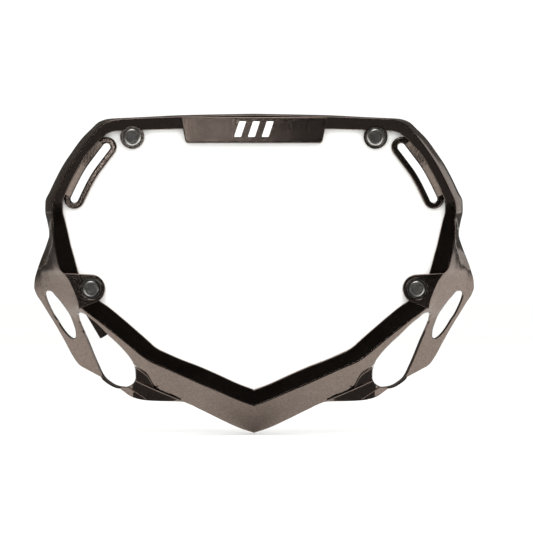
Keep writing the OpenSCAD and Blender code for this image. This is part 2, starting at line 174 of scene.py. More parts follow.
class SurroundSizes(bpy.types.PropertyGroup):
    wall: length("Wall", "Wall of the moulding", 2.2)
    sweep: length("Wing sweep", "How far the wings sweep back behind the number sheet", 22)
    lip: length("Lip height", "Height of the band's inner edge over the number sheet", 6.5)
    ridge: length("Ridge height", "Height of the band's ridge over the number sheet", 8)
    edge: length("Edge radius", "Rounding of the moulding's visible edges", 0.8)
    header_half: length("Header half width", "Half width of the header panel's lower edge", 40)
    header_drop: length("Header drop", "How far the header hangs below the bar", 8.4)
    header_slant: length("Header slant", "Slant of the header panel's ends", 2.6)
    slot: length("Slot width", "Width of the strap slots", 4.6)
    loop_bar: length("Loop bar", "Width of the loops round the strap slots", 3.7)
    loop: length("Loop height", "Height of the loops over the number sheet", 4.6)
    lug: length("Top lug height", "Height of the top screw lugs over the number sheet", 5.4)
    low_lug: length("Lower lug height", "Height of the lower lugs, which cross the band", 8.3)
    pocket: length("Pocket depth", "Depth of the pockets that take the washers", 1.2)
    plating: colour("Plating", "Black chrome as it reflects", "80736B")


class SheetSizes(bpy.types.PropertyGroup):
    seat: length("Seat", "How far the sheet reaches behind the band", 3.2)
    thickness: length("Thickness", "Thickness of the sheet", 1.2)
    body: colour("Sheet", "White polypropylene", "F4F4F2")


class MarkSizes(bpy.types.PropertyGroup):
    height: length("Height", "Height of a slanted bar", 9)
    width: length("Width", "Width of a slanted bar", 4)
    pitch: length("Pitch", "Spacing of the bars", 8)
    lean: length("Lean", "How far a bar leans over its height", 3)
    rise: length("Rise", "How far the ink stands on the header", 0.4)
    ink: colour("Ink", "White printing ink", "F3F3F1")


class FastenerSizes(bpy.types.PropertyGroup):
    shank: length("Shank", "Outer diameter of the thread", 5.9)
    pitch: length("Pitch", "Pitch of the thread", 1)
    head: length("Head", "Diameter of the button head", 10.5)
    head_height: length("Head height", "Height of the button head", 3.3)
    socket: length("Socket", "Width across the flats of the socket", 5)
    socket_depth: length("Socket depth", "Depth of the socket", 2.2)
    washer: length("Washer", "Outer diameter of a washer", 12)
    nut: length("Nut", "Width across the flats of a lock nut", 10)
    nut_hexagon: length("Hexagon height", "Height of the nut's hexagon", 4.4)
    ring: length("Ring height", "Height of the nylon ring", 1.3)
    ring_wall: length("Ring wall", "Width of the nylon ring's wall", 0.8)
    segments: IntProperty(
        name="Segments", description="Faces round a turned part", default=48, min=24, max=96
    )
    zinc: colour("Zinc", "Clear-passivated zinc plating", "C9C7C3")
    nylon: colour("Nylon", "Dyed nylon of the locking rings", "2E57A0")


class StudioSizes(bpy.types.PropertyGroup):
    distance: FloatProperty(
        name="Camera distance",
        description="From the plate to the camera",
        default=2.2,
        unit="LENGTH",
    )
    field: length("Field width", "Width of what the camera sees at the plate", 311.3)
    sky: FloatProperty(
        name="Sky strength", description="Brightness of the studio's walls", default=1.1
    )
    floor: colour("Floor", "Matt white floor", "F5F5F3")


# ---- meshes ---------------------------------------------------------------------------------


def skin(name, rings, looped=False, ends=True):
    """Mesh over rings of equally many points. Looped rings meet again, others get caps."""
    mesh = bmesh.new()
    rows = [[mesh.verts.new(p) for p in ring] for ring in rings]
    count = len(rows[0])
    pairs = list(zip(rows, rows[1:])) + ([(rows[-1], rows[0])] if looped else [])
    for low, high in pairs:
        for k in range(count):
            j = (k + 1) % count
            mesh.faces.new((low[k], low[j], high[j], high[k]))
    if ends and not looped:
        mesh.faces.new(rows[0])
        mesh.faces.new(rows[-1])
    bmesh.ops.recalc_face_normals(mesh, faces=mesh.faces)
    data = bpy.data.meshes.new(name)
    mesh.to_mesh(data)
    mesh.free()
    piece = bpy.data.objects.new(name, data)
    bpy.context.scene.collection.objects.link(piece)
    return piece


def applied(piece):
    """Replaces a piece's mesh by the result of its modifiers."""
    graph = bpy.context.evaluated_depsgraph_get()
    made = bpy.data.meshes.new_from_object(piece.evaluated_get(graph))
    old = piece.data
    piece.modifiers.clear()
    piece.data = made
    bpy.data.meshes.remove(old)


def combine(piece, tools, operation):
    """Joins or cuts a piece with closed tools, which are used up."""
    for tool in tools:
        step = piece.modifiers.new("Combine", "BOOLEAN")
        step.operation = operation
        step.solver = "MANIFOLD"
        step.object = tool
        bpy.context.view_layer.update()
        applied(piece)
        bpy.data.objects.remove(tool)
        if not piece.data.polygons:
            raise RuntimeError(f"{piece.name} was lost in a {operation.lower()}")


def smoothed(piece, sharp_over=32):
    """Smooth shading that keeps edges sharper than an angle, and flats flat."""
    piece.data.shade_smooth()
    piece.data.set_sharp_from_angle(angle=math.radians(sharp_over))
    flats = piece.modifiers.new("Flats", "WEIGHTED_NORMAL")
    flats.keep_sharp = True
    applied(piece)


def at(point, forward):
    """Place in the frame of a point in the plate's plane, so far in front of the datum."""
    return Vector((point[0], DATUM_Y - forward, point[1]))


def both(points):
    """A right-hand outline and its mirror image."""
    return [points, [Vector((-p.x, p.y)) for p in reversed(points)]]


def millimetres(points):
    return [Vector(p) * MM for p in points]


def offset(outline, reach):
    """Outline moved outward by a reach, or by one reach for each point."""
    count = len(outline)
    turn = sum(outline[k].cross(outline[(k + 1) % count]) for k in range(count))
    side = 1 if turn > 0 else -1
    moved = []
    for k, p in enumerate(outline):
        before = (p - outline[k - 1]).normalized()
        after = (outline[(k + 1) % count] - p).normalized()
        n1 = Vector((before.y, -before.x)) * side
        n2 = Vector((after.y, -after.x)) * side
        step = reach[k] if isinstance(reach, (list, tuple)) else reach
        moved.append(p + (n1 + n2) * step / max(0.4, 1 + n1.dot(n2)))
    return moved


def edge_rings(outline, low, high, edge, grow, steps):
    """Rings of an outline from one depth to another, grown or shrunk over a rounded edge."""
    rings = [[at(p, low) for p in outline]]
    for k in range(steps + 1):
        a = math.pi / 2 * k / steps
        line = offset(outline, grow * edge * (1 - math.cos(a)))
        rings.append([at(p, high - edge + edge * math.sin(a)) for p in line])
    return rings


def block(name, outline, low, high, edge, steps=4):
    """Solid of an outline between two depths, with its front edge rounded."""
    return skin(name, edge_rings(outline, low, high, edge, -1, steps))


def flared(name, outline, low, high, edge, steps=4):
    """Cutter through a flat front at a depth, which leaves the opening's edge rounded."""
    past = high + 10 * MM
    rings = edge_rings(outline, low, high, edge, 1, steps)
    return skin(name, rings + [[at(p, past) for p in offset(outline, edge)]])


def prism(name, outline, low, high):
    """Plain solid of an outline between two depths."""
    return skin(name, [[at(p, low) for p in outline], [at(p, high) for p in outline]])


def unit(a):
    """Unit vector of the plate's plane at an angle."""
    return Vector((math.cos(a), math.sin(a)))


def circle(middle, radius, count=48):
    return [middle + radius * unit(2 * math.pi * k / count) for k in range(count)]


def turned(name, middle, profile, segments, looped):
    """Part turned about a screw's axis. A profile point is a radius and a depth in front of the
    datum, and either can be a function of the angle."""
    rings = []
    for radius, forward in profile:
        ring = []
        for k in range(segments):
            a = 2 * math.pi * k / segments
            r = radius(a) if callable(radius) else radius
            f = forward(a) if callable(forward) else forward
            ring.append(at(middle + r * unit(a), f))
        rings.append(ring)
    return skin(name, rings, looped)


def arc(middle_r, middle_f, radius, start, end, steps=4):
    """Profile points on an arc, its angles in degrees from outward towards the front."""
    turns = [math.radians(start + (end - start) * k / steps) for k in range(steps + 1)]
    return [(middle_r + radius * math.cos(a), middle_f + radius * math.sin(a)) for a in turns]


def ahead(line, k):
    """Direction of a line at one of its points."""
    return (line[min(k + 1, len(line) - 1)] - line[max(k - 1, 0)]).normalized()


def ribbon(line, reach):
    """Round-ended outline along a line."""
    last = len(line) - 1
    along = [ahead(line, k) for k in range(last + 1)]
    left = [p + reach * Vector((-d.y, d.x)) for p, d in zip(line, along)]
    right = [p - reach * Vector((-d.y, d.x)) for p, d in zip(line, along)]
    ends = []
    for p, d in ((line[last], along[last]), (line[0], -along[0])):
        facing = math.atan2(d.y, d.x)
        ends.append([p + reach * unit(facing + math.radians(a)) for a in range(75, -76, -15)])
    return left + ends[0] + right[::-1] + ends[1]


def through(points, stops, closed=False):
    """Smooth curve through vectors that never swings past one, with so many stops from each
    to the next."""
    count = len(points)
    spans = count if closed else count - 1
    gaps = [(points[(k + 1) % count] - points[k]).length for k in range(spans)]
    slopes = [(points[(k + 1) % count] - points[k]) / gaps[k] for k in range(spans)]

    def heading(k):
        if not closed and k in (0, count - 1):
            return slopes[0] if k == 0 else slopes[-1]
        before, after = slopes[k - 1], slopes[k % spans]
        w1, w2 = 2 * gaps[k % spans] + gaps[k - 1], gaps[k % spans] + 2 * gaps[k - 1]
        return Vector(
            (w1 + w2) / (w1 / a + w2 / b) if a * b > 0 else 0.0 for a, b in zip(before, after)
        )

    curve = []
    for k in range(spans):
        p, q, gap = points[k], points[(k + 1) % count], gaps[k]
        start, end = heading(k) * gap, heading((k + 1) % count if closed else k + 1) * gap
        for s in range(stops):
            t = s / stops
            curve.append(
                (2 * t**3 - 3 * t**2 + 1) * p
                + (t**3 - 2 * t**2 + t) * start
                + (3 * t**2 - 2 * t**3) * q
                + (t**3 - t**2) * end
            )
    if not closed:
        curve.append(points[-1].copy())
    return curve


# ---- the moulding ----------------------------------------------------------------------------


def inset(path, k, wall):
    """Shift of the wall's inner face at corner k of an [across, back] path."""
    before = (path[k] - path[k - 1]).normalized() if k else (path[1] - path[0]).normalized()
    after = (path[k + 1] - path[k]).normalized() if k < len(path) - 1 else before
    n1, n2 = Vector((-before.y, before.x)), Vector((-after.y, after.x))
    return (n1 + n2) * wall / (1 + n1.dot(n2))


def section(station, sizes):
    """Corners of the moulding's closed section at a station: the front from the inner to the
    outer edge, then the wall's inner face back again."""
    inner, ridge, outer = millimetres(station[:3])
    fold = station[3]
    across = (outer - inner).normalized()
    back = fold[6] * sizes.sweep
    plan = [inner, inner, ridge] + [ridge.lerp(outer, fold[k]) for k in (0, 2, 4)] + [outer]
    depth = [0, -sizes.lip, -sizes.ridge]
    depth += [-sizes.ridge + (back + sizes.ridge) * fold[k] for k in (1, 3, 5)] + [back]
    path = [Vector(((p - inner).dot(across), d)) for p, d in zip(plan, depth)]
    last = len(plan) - 1
    # The outer edge's foot is a little wider than the wall is thick
    foot = 1.25 * sizes.wall
    corners = [at(p, -d) for p, d in zip(plan, depth)]
    corners.append(at(plan[last] - foot * across, -depth[last]))
    for k in range(last - 1, 0, -1):
        shift = inset(path, k, sizes.wall)
        corners.append(at(plan[k] + shift.x * across, -(depth[k] + shift.y)))
    corners.append(at(plan[0] + sizes.wall * across, 0))
    return corners


def rounded(corners, reach, steps=4):
    """Corners of a closed section each turned into a short curve."""
    # The largest share of a side that one corner's curve takes up
    share = 0.42
    made = []
    for k, p in enumerate(corners):
        back, on = corners[k - 1] - p, corners[(k + 1) % len(corners)] - p
        step = min(reach[k], share * back.length, share * on.length)
        a, b = p + back.normalized() * step, p + on.normalized() * step
        for s in range(steps + 1):
            t = s / steps
            made.append((1 - t) ** 2 * a + 2 * t * (1 - t) * p + t**2 * b)
    return made


def moulding_rings(sizes, stops=5):
    """Sections of the whole ring, smooth along it but for the crease at the chin."""
    # Each corner's rounding as a share of the edge radius, in the order that section() gives
    shares = [0.3, 1, 1] + [1.6] * 3 + [0.8] + [0.5] * 6 + [0.3]
    reach = [share * sizes.edge for share in shares]
    halves = [rounded(section(s, sizes), reach) for s in STATIONS]
    rails = [through([ring[k] for ring in halves], stops) for k in range(len(halves[0]))]
    half = [[rail[k] for rail in rails] for k in range(len(rails[0]))]
    mirrored = [[Vector((-p.x, p.y, p.z)) for p in ring] for ring in half[-2:0:-1]]
    return half + mirrored


class Surface:
    """Finds how deep the moulding's front lies behind a point of the plate's plane."""

    # Well in front of everything
    START = 0.1

    def __init__(self, piece):
        self.tree = BVHTree.FromObject(piece, bpy.context.evaluated_depsgraph_get())

    def forward(self, point):
        hit = self.tree.ray_cast(at(point, self.START), Vector((0, 1, 0)))[0]
        if hit is None:
            hit = self.tree.find_nearest(at(point, 0))[0]
        return DATUM_Y - hit.y


def outward(outline):
    """How squarely each point of an outline faces away from the plate's middle, 0 to 1."""
    moved = offset(outline, MM)
    side = 1 if outline[0].x > 0 else -1
    return [max(0.0, (m - p).normalized().x * side) for m, p in zip(moved, outline)]


def opening_tools(outline, surface, splay, edge, wall_depth):
    """Sleeve that walls an opening, and the cutter that leaves a ledge on its outer side."""
    # The ledge stays just inside the moulding's back
    deepest, ledge_thick = -21.9 * MM, 1.5 * MM
    # How far the sleeve reaches into the wall and into the opening
    hold = 0.8 * MM
    reach = [edge + splay * f for f in outward(outline)]
    mouth = offset(outline, reach)
    sill = offset(outline, [r + hold for r in reach])
    core = offset(outline, -hold)
    depths = [max(deepest + ledge_thick, surface.forward(p) - wall_depth) for p in outline]
    # The mean over each point and its neighbours, four on either side
    near = range(-4, 5)
    ledge = [sum(depths[(k + j) % len(depths)] for j in near) / 9 for k in range(len(depths))]
    back = [d - ledge_thick for d in ledge]

    def front(line):
        sunk, least = 0.6 * MM, 0.5 * MM
        return [at(p, max(b + least, surface.forward(p) - sunk)) for p, b in zip(line, back)]

    def behind(line):
        return [at(p, b) for p, b in zip(line, back)]

    rim = [at(p, max(d, surface.forward(p) - 0.1 * MM)) for p, d in zip(mouth, ledge)]
    floor = [at(p, d) for p, d in zip(outline, ledge)]
    low, high = -40 * MM, 30 * MM
    sleeve = skin("sleeve", [front(core), front(sill), behind(sill), behind(core)], looped=True)
    cutter = skin(
        "opening", [[at(p, low) for p in outline], floor, rim, [at(p, high) for p in mouth]]
    )
    return sleeve, cutter


def lug_outline(middle, radius):
    """Right lower lug: round about its screw, then straight to both ends of its root."""
    turns = [math.radians(90 + 4.5 * k) for k in range(36)]
    return millimetres(LUG_ROOT) + [middle + radius * unit(a) for a in turns]


def bead(line, surface, radius):
    """Half-round bead that lies along the moulding's front."""
    sides = 10
    points = through(line, 4)
    rings = []
    for k, p in enumerate(points):
        on = ahead(points, k)
        side = Vector((-on.y, on.x))
        deep = surface.forward(p)
        turns = [2 * math.pi * j / sides for j in range(sides)]
        rings.append(
            [at(p + side * radius * math.cos(a), deep + radius * math.sin(a)) for a in turns]
        )
    return skin("bead", rings)


def strap_wedge(side, sizes):
    """Slope from the band down to the strap slot, and the cutter that clears the loop over it."""
    low, high, past = 2.4 * MM, 6.2 * MM, 12 * MM
    near = sizes.slot / 2 - 0.4 * MM
    far = sizes.slot / 2 + sizes.loop_bar + 0.6 * MM
    toward = 1 if side[0].x > 0 else -1
    slope, clear = [], []
    for k, p in enumerate(side):
        on = ahead(side, k)
        out = Vector((-on.y, on.x))
        out = out if out.x * toward > 0 else -out
        a, b = p + out * near, p + out * far
        slope.append([at(a, 0), at(a, low), at(b, high), at(b, 0)])
        clear.append([at(a, low), at(a, past), at(b, past), at(b, high)])
    return skin("slope", slope), skin("clearance", clear)


def header_outline(sizes):
    """Header panel: slanted ends, and round lower corners."""
    low = STATIONS[0][0][1] * MM - sizes.header_drop
    # Just under the outer side of the bar's ridge
    top = (STATIONS[1][1][1] - 0.4) * MM
    r = 1.8 * MM
    right, slant = sizes.header_half, sizes.header_slant
    turns = [math.radians(-22.5 * k) for k in range(5)]
    corner = [Vector((right - r + r * math.cos(a), low + r + r * math.sin(a))) for a in turns]
    other = [Vector((-p.x, p.y)) for p in reversed(corner)]
    return [Vector((right + slant, top)), *corner, *other, Vector((-right - slant, top))]


def screw_middle(corner):
    low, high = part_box("screw_" + corner)
    return Vector(((low.x + high.x) / 2, (low.z + high.z) / 2))


def lug_tools(corner, sizes, fasteners):
    """A screw's lug, and the cutters for its washer's pocket and its bore."""
    middle = screw_middle(corner)
    pocket = fasteners.washer / 2 + 0.2 * MM
    floor = sizes.lug - sizes.pocket
    if corner.startswith("low"):
        outline = lug_outline(Vector((abs(middle.x), middle.y)), pocket + 2.1 * MM)
        outline = outline if middle.x > 0 else both(outline)[1]
        top, edge, mouth = sizes.low_lug, 0.7 * MM, 0.5 * MM
    else:
        outline = circle(middle, pocket + 0.8 * MM, 64)
        top, edge, mouth = sizes.lug, 0.35 * MM, 0.3 * MM
    bore = circle(middle, fasteners.shank / 2 + 0.3 * MM, 32)
    cuts = [
        flared("pocket", circle(middle, pocket, 64), floor, top, mouth),
        prism("bore", bore, -5 * MM, 14 * MM),
    ]
    return block("lug", outline, 0, top, edge), cuts


def make_moulding(sizes, fasteners):
    """The one-piece surround with its header, loops, lugs and wing openings."""
    piece = skin("surround", moulding_rings(sizes), looped=True)
    surface = Surface(piece)
    adds, cuts = [], []
    for outline, splay, deep in ((VENT, 0.6 * MM, 3 * MM), (TEARDROP, 0.9 * MM, 4 * MM)):
        for half in both(through(millimetres(outline), 3, True)):
            sleeve, cutter = opening_tools(half, surface, splay, 0.5 * MM, deep)
            adds.append(sleeve)
            cuts.append(cutter)
    adds.append(block("header", header_outline(sizes), 0, sizes.ridge, sizes.edge))
    for line, radius in ((RAIL_STEP, 0.75 * MM), (RAIL_SEAM, 0.4 * MM)):
        adds += [bead(half, surface, radius) for half in both(millimetres(line))]
    half_slot, slot_floor = sizes.slot / 2, -5 * MM
    for side in both(through(millimetres(SLOT_LINE), 3)):
        loop = block("loop", ribbon(side, half_slot + sizes.loop_bar), 0, sizes.loop, 1.2 * MM)
        slope, clearance = strap_wedge(side, sizes)
        combine(loop, [clearance], "DIFFERENCE")
        adds += [loop, slope]
        cuts.append(flared("slot", ribbon(side, half_slot), slot_floor, sizes.loop, 0.9 * MM))
    for corner in CORNERS:
        lug, holes = lug_tools(corner, sizes, fasteners)
        adds.append(lug)
        cuts += holes
    combine(piece, adds, "UNION")
    combine(piece, cuts, "DIFFERENCE")
    # After the cuts, because the tab reaches into the large opening
    tab = block("tab", millimetres(TAB), 1.5 * MM, 4.2 * MM, 0.3 * MM)
    combine(piece, [tab], "UNION")
    return piece


# ---- materials -------------------------------------------------------------------------------


def add(tree, kind, inputs=None, **settings):
    """Adds a node with its settings, and sets or links its inputs."""
    node = tree.nodes.new(kind)
    for key, value in settings.items():
        setattr(node, key, value)
    for key, value in (inputs or {}).items():
        if isinstance(value, bpy.types.NodeSocket):
            tree.links.new(value, node.inputs[key])
        else:
            node.inputs[key].default_value = value
    return node


def blank(name):
    """A new material's node tree, with its output and object coordinates."""
    material = bpy.data.materials.new(name)
    material.use_nodes = True
    tree = material.node_tree
    tree.nodes.clear()
    place = add(tree, "ShaderNodeTexCoord").outputs["Object"]
    return material, tree, place


def per(size_mm):
    """Pattern scale for features of a real size."""
    return 1 / (size_mm * MM)


def opaque(rgb):
    return (*rgb, 1)


def shade(rgb, share):
    return (*(c * share for c in rgb), 1)


def noise(tree, place, size_mm, detail, roughness=0.5):
    """Cloudy pattern with features of a real size."""
    inputs = {"Vector": place, "Scale": per(size_mm), "Detail": detail, "Roughness": roughness}
    return add(tree, "ShaderNodeTexNoise", inputs).outputs["Fac"]


def spread(tree, value, low, high, start=0.0, end=1.0, **settings):
    """Takes a pattern from the range of start to end to that of low to high."""
    inputs = {"Value": value, "From Min": start, "From Max": end, "To Min": low, "To Max": high}
    return add(tree, "ShaderNodeMapRange", inputs, **settings).outputs["Result"]


def blend(tree, factor, a, b, **settings):
    """Mixes two colours by a pattern."""
    inputs = {"Factor": factor, "A": a, "B": b}
    return add(tree, "ShaderNodeMix", inputs, data_type="RGBA", **settings).outputs["Result"]


def dented(tree, height, strength, depth_mm, **under):
    """Surface direction over bumps of a real depth."""
    inputs = {"Height": height, "Strength": strength, "Distance": depth_mm * MM, **under}
    return add(tree, "ShaderNodeBump", inputs).outputs["Normal"]


def finished(material, tree, inputs):
    """Ends a material's tree with its shader."""
    shader = add(tree, "ShaderNodeBsdfPrincipled", inputs)
    add(tree, "ShaderNodeOutputMaterial", {"Surface": shader.outputs["BSDF"]})
    return material


def black_chrome_on_abs(sizes):
    """ABS moulded in a fine-grained tool and plated in black chrome. It mirrors the room darkly
    and a little warmly, and the grain under the plating breaks up the edges of what it mirrors."""
    material, tree, place = blank("Black chrome plated ABS")
    # Spark-eroded grain, drawn at 1.1 mm because the real 0.1 mm is too fine to show
    grain = noise(tree, place, 1.1, 3, 0.6)
    # Sink and flow of the moulding under the plating
    flow = noise(tree, place, 22, 2)
    haze = spread(tree, flow, 0.09, 0.16, 0.35, 0.65)
    tint = blend(tree, flow, shade(sizes.plating, 0.85), shade(sizes.plating, 1.1))
    # The plating is a little thinner on the grain's peaks
    speck = spread(tree, grain, 0.74, 1.16, 0.3, 0.7)
    coat = blend(tree, 1.0, tint, speck, blend_type="MULTIPLY")
    swell = dented(tree, flow, 0.25, 0.2)
    bump = dented(tree, grain, 0.7, 0.05, Normal=swell)
    inputs = {"Base Color": coat, "Metallic": 1, "Roughness": haze, "Normal": bump}
    return finished(material, tree, inputs)


def polypropylene_sheet(sizes):
    """White polypropylene sheet from polished rolls: matt, with a faint even grain."""
    material, tree, place = blank("Rolled polypropylene")
    grain = noise(tree, place, 0.9, 2)
    tint = blend(tree, noise(tree, place, 40, 1), shade(sizes.body, 0.98), opaque(sizes.body))
    inputs = {"Base Color": tint, "Roughness": spread(tree, grain, 0.42, 0.52), "IOR": 1.49}
    return finished(material, tree, {**inputs, "Normal": dented(tree, grain, 0.2, 0.02)})


def pad_print_ink(sizes):
    """White two-part printing ink: a satin film with small pores and a slightly uneven coat."""
    material, tree, place = blank("Pad printed ink")
    pores = noise(tree, place, 0.5, 2)
    tint = blend(tree, noise(tree, place, 5, 1), shade(sizes.ink, 0.96), opaque(sizes.ink))
    inputs = {"Base Color": tint, "Roughness": spread(tree, pores, 0.38, 0.5), "IOR": 1.5}
    return finished(material, tree, {**inputs, "Normal": dented(tree, pores, 0.2, 0.015)})


def zinc_plated_steel(sizes):
    """Cold-headed steel, barrel plated in zinc: bright grey, with the barrel's small dings."""
    material, tree, place = blank("Zinc plated steel")
    dings = add(tree, "ShaderNodeTexVoronoi", {"Vector": place, "Scale": per(0.9)})
    cloud = noise(tree, place, 3, 3)
    tint = blend(tree, cloud, shade(sizes.zinc, 0.82), opaque(sizes.zinc))
    inputs = {"Base Color": tint, "Metallic": 1, "Roughness": spread(tree, cloud, 0.24, 0.4)}
    bump = dented(tree, dings.outputs["Distance"], 0.15, 0.03)
    return finished(material, tree, {**inputs, "Normal": bump})


def dyed_nylon(sizes):
    """Blue nylon, turned and pressed into the nut: waxy, with fine turning marks."""
    material, tree, place = blank("Dyed nylon")
    marks = noise(tree, place, 0.4, 2)
    tint = blend(tree, marks, shade(sizes.nylon, 0.85), opaque(sizes.nylon))
    inputs = {"Base Color": tint, "Roughness": spread(tree, marks, 0.35, 0.5), "IOR": 1.53}
    return finished(material, tree, {**inputs, "Normal": dented(tree, marks, 0.2, 0.02)})


def matt_paint(name, rgb, roughness=0.95):
    """Matt emulsion or card, with the roller's faint unevenness."""
    material, tree, place = blank(name)
    tint = blend(tree, noise(tree, place, 60, 2), shade(rgb, 0.98), opaque(rgb))
    inputs = {"Base Color": tint, "Roughness": roughness, "Specular IOR Level": 0.1}
    return finished(material, tree, inputs)


def painted_pool_paper(name, rgb, low, high, middle, near, away):
    """Matt paper painted with a pool of light: from one grey by a middle point to another away from
    it, a painted shade standing in for the floor's light falling off.
    """
    material, tree, place = blank(name)
    reach = add(tree, "ShaderNodeVectorMath", {0: place, 1: middle}, operation="DISTANCE")
    # Painted shade: the colour changes with distance from the middle point, like light falling off
    painted_falloff = spread(
        tree, reach.outputs["Value"], low, high, near, away, interpolation_type="SMOOTHSTEP"
    )
    tint = blend(tree, painted_falloff, shade(rgb, 0.0), opaque(rgb))
    inputs = {"Base Color": tint, "Roughness": 0.95, "Specular IOR Level": 0.1}
    return finished(material, tree, inputs)


def dress(piece, material, body, node):
    """Gives a piece its material and says what it stands for."""
    piece.data.materials.clear()
    piece.data.materials.append(material)
    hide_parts(node)
    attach(piece, body)


def material_once(name, make, sizes):
    return bpy.data.materials.get(name) or make(sizes)


# ---- operators -------------------------------------------------------------------------------


class PLATE_OT_surround(bpy.types.Operator):
    """Build the plated surround"""

    bl_idname = "plate.surround"
    bl_label = "Surround"

    def execute(self, context):
        sizes = context.scene.plate_surround
        piece = make_moulding(sizes, context.scene.plate_fasteners)
        smoothed(piece)
        dress(piece, black_chrome_on_abs(sizes), "plate", "front_frame")
        return {"FINISHED"}


class PLATE_OT_sheet(bpy.types.Operator):
    """Build the number sheet behind the surround"""

    bl_idname = "plate.sheet"
    bl_label = "Number sheet"

    def execute(self, context):
        sizes = context.scene.plate_sheet
        fasteners = context.scene.plate_fasteners
        slot = context.scene.plate_surround.slot
        half = []
        for station in STATIONS:
            inner, _, outer = millimetres(station[:3])
            half.append(inner + sizes.seat * (outer - inner).normalized())
        right = through(half, 4)
        outline = right + [Vector((-p.x, p.y)) for p in right[-2:0:-1]]
        edge, back = 0.25 * MM, -sizes.thickness
        rings = []
        for forward, reach in ((0, -edge), (-edge, 0), (back + edge, 0), (back, -edge)):
            rings.append([at(p, forward) for p in offset(outline, reach)])
        piece = skin("number_sheet", rings)
        slot_gap, bore_gap = 0.8 * MM, 0.55 * MM
        line = through(millimetres(SLOT_LINE), 3)
        holes = [ribbon(side, slot / 2 + slot_gap) for side in both(line)]
        holes += [circle(screw_middle(c), fasteners.shank / 2 + bore_gap) for c in CORNERS]
        combine(piece, [prism("hole", hole, -3 * MM, MM) for hole in holes], "DIFFERENCE")
        smoothed(piece)
        dress(piece, polypropylene_sheet(sizes), "plate", "number_insert")
        return {"FINISHED"}


class PLATE_OT_marks(bpy.types.Operator):
    """Print three slanted bars on the header"""

    bl_idname = "plate.marks"
    bl_label = "Header marks"

    def execute(self, context):
        sizes = context.scene.plate_marks
        front = context.scene.plate_surround.ridge
        low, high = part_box("header_marks")
        middle = (low.z + high.z) / 2
        w, h, lean = sizes.width / 2, sizes.height / 2, sizes.lean / 2
        sunk, round_corner, round_edge = 0.05 * MM, 0.5 * MM, 0.15 * MM
        bars = []
        for k in (-1, 0, 1):
            x = k * sizes.pitch
            corners = ((x - w - lean, -h), (x + w - lean, -h), (x + w + lean, h), (x - w + lean, h))
            outline = [Vector((px, middle + pz)) for px, pz in corners]
            soft = rounded(outline, [round_corner] * 4)
            bars.append(
                block("header_bars", soft, front - sunk, front + sizes.rise, round_edge, 2)
            )
        piece = bars[0]
        combine(piece, bars[1:], "UNION")
        smoothed(piece)
        dress(piece, pad_print_ink(sizes), "plate", "header_marks")
        return {"FINISHED"}


def hexagon(across_flats):
    """Radius of a hexagon as a function of the angle."""
    sixth = math.pi / 3
    return lambda a: across_flats / 2 / math.cos((a + sixth / 2) % sixth - sixth / 2)


def screw_profile(sizes, tip, front):
    """Button-head screw, from its tip to the floor of its socket."""
    r, rim, crown = sizes.shank / 2, sizes.head / 2, 3.4 * MM
    seat = front - sizes.head_height
    # Height of the head's straight rim, which is also the plain shank left under the head
    plain = 0.6 * MM
    thread_depth, point, run_in, steps = 0.55 * MM, 0.35 * MM, 1.2 * MM, 8
    profile = [(r - 0.9 * MM, tip)]
    for k in range(1, int((seat - plain - tip) / sizes.pitch * steps)):
        z = k * sizes.pitch / steps
        taper = point * (1 - min(1.0, z / run_in))

        def thread(a, z=z, taper=taper):
            phase = (z / sizes.pitch - a / (2 * math.pi)) % 1
            return r - thread_depth * abs(2 * phase - 1) - taper

        profile.append((thread, tip + z))
    profile += [(r - 0.05 * MM, seat - 0.5 * MM), (r, seat), (rim - 0.25 * MM, seat)]
    profile += [(rim, seat + 0.25 * MM), (rim, seat + plain)]
    dome, steps = sizes.head_height - plain, 9
    for k in range(1, steps):
        a = math.pi / 2 * k / steps
        across = crown + (rim - crown) * math.cos(a)
        profile.append((across, seat + plain + dome * math.sin(a)))
    key, mouth = hexagon(sizes.socket), hexagon(sizes.socket + 0.5 * MM)
    floor = front - sizes.socket_depth
    profile += [(crown, front), (mouth, front - 0.02 * MM), (key, front - 0.35 * MM)]
    return profile + [(key, floor), (0.4 * MM, floor - 0.1 * MM)]


class PLATE_OT_screws(bpy.types.Operator):
    """Build the button-head screws"""

    bl_idname = "plate.screws"
    bl_label = "Screws"

    def execute(self, context):
        sizes = context.scene.plate_fasteners
        material = material_once("Zinc plated steel", zinc_plated_steel, sizes)
        for corner in CORNERS:
            low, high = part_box("screw_" + corner)
            profile = screw_profile(sizes, DATUM_Y - high.y, DATUM_Y - low.y)
            name = "screw_" + corner + "_turned"
            piece = turned(name, screw_middle(corner), profile, sizes.segments, False)
            smoothed(piece, 40)
            dress(piece, material, "screw_" + corner, "screw_" + corner)
        return {"FINISHED"}


def washer_profile(low, high, bore, rim):
    """Stamped washer: round on the punch side, and nearly square on the other."""
    e = 0.22 * MM
    return (
        [(bore, low + e), (bore + e / 2, low), (rim - e / 2, low), (rim, low + e / 2)]
        + arc(rim - e, high - e, e, 0, 90)
        + arc(bore + e, high - e, e, 90, 180)
    )


class PLATE_OT_washers(bpy.types.Operator):
    """Build the washers in front and behind"""

    bl_idname = "plate.washers"
    bl_label = "Washers"

    def execute(self, context):
        sizes = context.scene.plate_fasteners
        material = material_once("Zinc plated steel", zinc_plated_steel, sizes)
        bore = sizes.shank / 2 + 0.3 * MM
        for corner in CORNERS:
            for kind, body in (("washer_", "washer_" + corner), ("back_washer_", "plate")):
                low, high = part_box(kind + corner)
                profile = washer_profile(DATUM_Y - high.y, DATUM_Y - low.y, bore, sizes.washer / 2)
                piece = turned(kind + corner + "_stamped", screw_middle(corner), profile, 64, True)
                smoothed(piece, 50)
                dress(piece, material, body, kind + corner)
        return {"FINISHED"}


